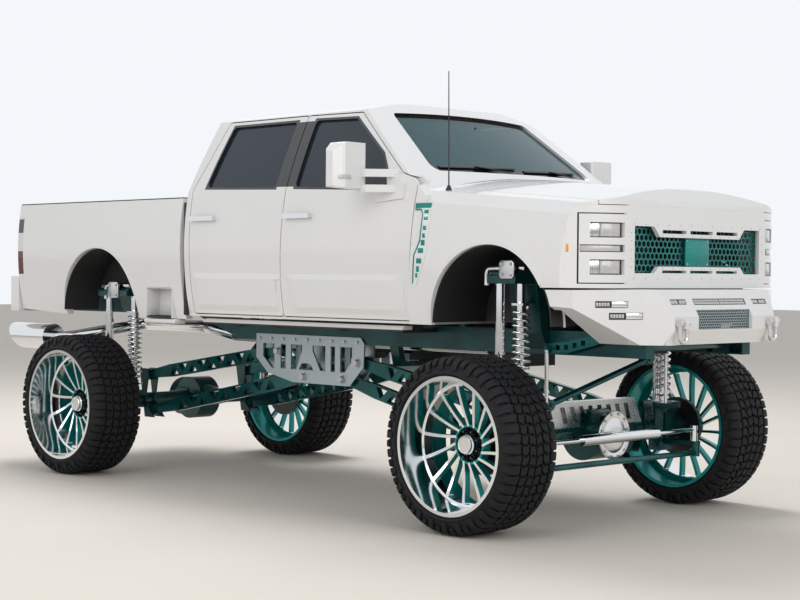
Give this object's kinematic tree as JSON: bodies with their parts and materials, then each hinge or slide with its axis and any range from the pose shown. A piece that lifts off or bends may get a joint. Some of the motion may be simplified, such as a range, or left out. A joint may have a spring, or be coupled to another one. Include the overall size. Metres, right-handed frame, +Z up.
{
  "type": "pickup truck",
  "caption": "Lifted white crew cab pickup truck with solid axles, coilovers, long milled links and wide wheels.",
  "frame": {"origin": "on the ground below the middle of the whole length", "axes": "+X forwards, +Y to the truck's left, +Z up"},
  "size_m": [6.437, 2.6892, 2.6778],
  "materials": {
    "body_white": "gloss",
    "frame_teal": "satin",
    "plate_silver": "satin",
    "chrome": "polished",
    "steel": "satin",
    "cast_black": "matte",
    "tyre": "matte",
    "rim": "polished",
    "brake": "satin",
    "dark_glass": "gloss",
    "screen_glass": "gloss",
    "black_plastic": "matte",
    "seat": "matte",
    "lamp": "gloss",
    "tail_lamp": "gloss",
    "mesh_teal": "satin"
  },
  "bodies": {
    "chassis": {"frame": "frame_teal", "hanger_plates": "plate_silver", "suspension_links": "frame_teal", "front_axle": "frame_teal", "rear_axle": "frame_teal", "dampers": "chrome", "coil_springs": "chrome", "sway_bar": "frame_teal", "steering_ram": "steel", "cab_shell": "body_white", "cab_glass": "screen_glass", "cowl_panel": "black_plastic", "dashboard": "black_plastic", "seats": "seat", "fenders": "body_white", "headlamps": "lamp", "grille_frame": "body_white", "grille_mesh": "mesh_teal", "radiator": "cast_black", "engine_block": "cast_black", "drive_shafts": "frame_teal", "exhaust": "chrome", "fuel_tank": "black_plastic", "wheel_liners": "black_plastic", "front_bumper": "body_white", "bumper_lamps": "lamp", "shackles": "steel", "cargo_bed": "body_white", "tail_lamps": "tail_lamp", "rear_bumper": "body_white", "running_boards": "black_plastic"},
    "hood_panel": {"hood": "body_white"},
    "tailgate_panel": {"tailgate": "body_white"},
    "steering_left": {"knuckle_left": "frame_teal"},
    "steering_right": {"knuckle_right": "frame_teal"},
    "track_rod": {"tie_rod": "frame_teal"},
    "ram_bar": {"ram_rod": "steel"},
    "front_door_left": {"door_front_left": "body_white", "glass_front_left": "dark_glass", "mirror_left": "body_white"},
    "rear_door_left": {"door_rear_left": "body_white", "glass_rear_left": "dark_glass"},
    "wheel_front_left": {"tyre_front_left": "tyre", "rim_front_left": "rim", "brake_hub_front_left": "brake"},
    "wheel_rear_left": {"tyre_rear_left": "tyre", "rim_rear_left": "rim", "brake_hub_rear_left": "brake"},
    "front_door_right": {"door_front_right": "body_white", "glass_front_right": "dark_glass", "mirror_right": "body_white"},
    "rear_door_right": {"door_rear_right": "body_white", "glass_rear_right": "dark_glass"},
    "wheel_front_right": {"tyre_front_right": "tyre", "rim_front_right": "rim", "brake_hub_front_right": "brake"},
    "wheel_rear_right": {"tyre_rear_right": "tyre", "rim_rear_right": "rim", "brake_hub_rear_right": "brake"}
  },
  "joints": [
    {"name": "steer_right", "type": "hinge", "parent": "chassis", "child": "steering_right", "pos_m": [2.1185, -0.8, 0.524], "axis": [0, 0, 1], "range_deg": [-30, 30]},
    {"name": "steer_left", "type": "hinge", "parent": "chassis", "child": "steering_left", "pos_m": [2.1185, 0.8, 0.524], "axis": [0, 0, 1], "range_deg": [-30, 30]},
    {"name": "tie_rod_pivot", "type": "hinge", "parent": "steering_right", "child": "track_rod", "pos_m": [2.3785, -0.8, 0.4], "axis": [0, 0, 1], "range_deg": [-30, 30]},
    {"name": "ram_slide", "type": "slide", "parent": "chassis", "child": "ram_bar", "axis": [0, 1, 0], "range_m": [-0.123, 0.123]},
    {"name": "wheel_front_left_spin", "type": "hinge", "parent": "steering_left", "child": "wheel_front_left", "pos_m": [2.1185, 1.0745, 0.524], "axis": [0, 1, 0], "continuous": true},
    {"name": "wheel_rear_left_spin", "type": "hinge", "parent": "chassis", "child": "wheel_rear_left", "pos_m": [-1.9405, 1.0745, 0.524], "axis": [0, 1, 0], "continuous": true},
    {"name": "front_door_left_hinge", "type": "hinge", "parent": "chassis", "child": "front_door_left", "pos_m": [1.5785, 1.0163, 1.6], "axis": [0, 0, -1], "range_deg": [0, 65]},
    {"name": "rear_door_left_hinge", "type": "hinge", "parent": "chassis", "child": "rear_door_left", "pos_m": [0.3565, 1.0163, 1.6], "axis": [0, 0, -1], "range_deg": [0, 65]},
    {"name": "wheel_front_right_spin", "type": "hinge", "parent": "steering_right", "child": "wheel_front_right", "pos_m": [2.1185, -1.0745, 0.524], "axis": [0, 1, 0], "continuous": true},
    {"name": "wheel_rear_right_spin", "type": "hinge", "parent": "chassis", "child": "wheel_rear_right", "pos_m": [-1.9405, -1.0745, 0.524], "axis": [0, 1, 0], "continuous": true},
    {"name": "front_door_right_hinge", "type": "hinge", "parent": "chassis", "child": "front_door_right", "pos_m": [1.5785, -1.0163, 1.6], "axis": [0, 0, 1], "range_deg": [0, 65]},
    {"name": "rear_door_right_hinge", "type": "hinge", "parent": "chassis", "child": "rear_door_right", "pos_m": [0.3565, -1.0163, 1.6], "axis": [0, 0, 1], "range_deg": [0, 65]},
    {"name": "hood_hinge", "type": "hinge", "parent": "chassis", "child": "hood_panel", "pos_m": [1.6825, 0, 2.14], "axis": [0, -1, 0], "range_deg": [0, 55]},
    {"name": "tailgate_hinge", "type": "hinge", "parent": "chassis", "child": "tailgate_panel", "pos_m": [-2.9015, 0, 1.522], "axis": [0, -1, 0], "range_deg": [0, 90]}
  ],
  "couplings": [
    {"joint": "steer_left", "follows": "steer_right", "ratio": 1},
    {"joint": "tie_rod_pivot", "follows": "steer_right", "ratio": -1},
    {"joint": "ram_slide", "follows": "steer_right", "m_per_rad": 0.234}
  ]
}
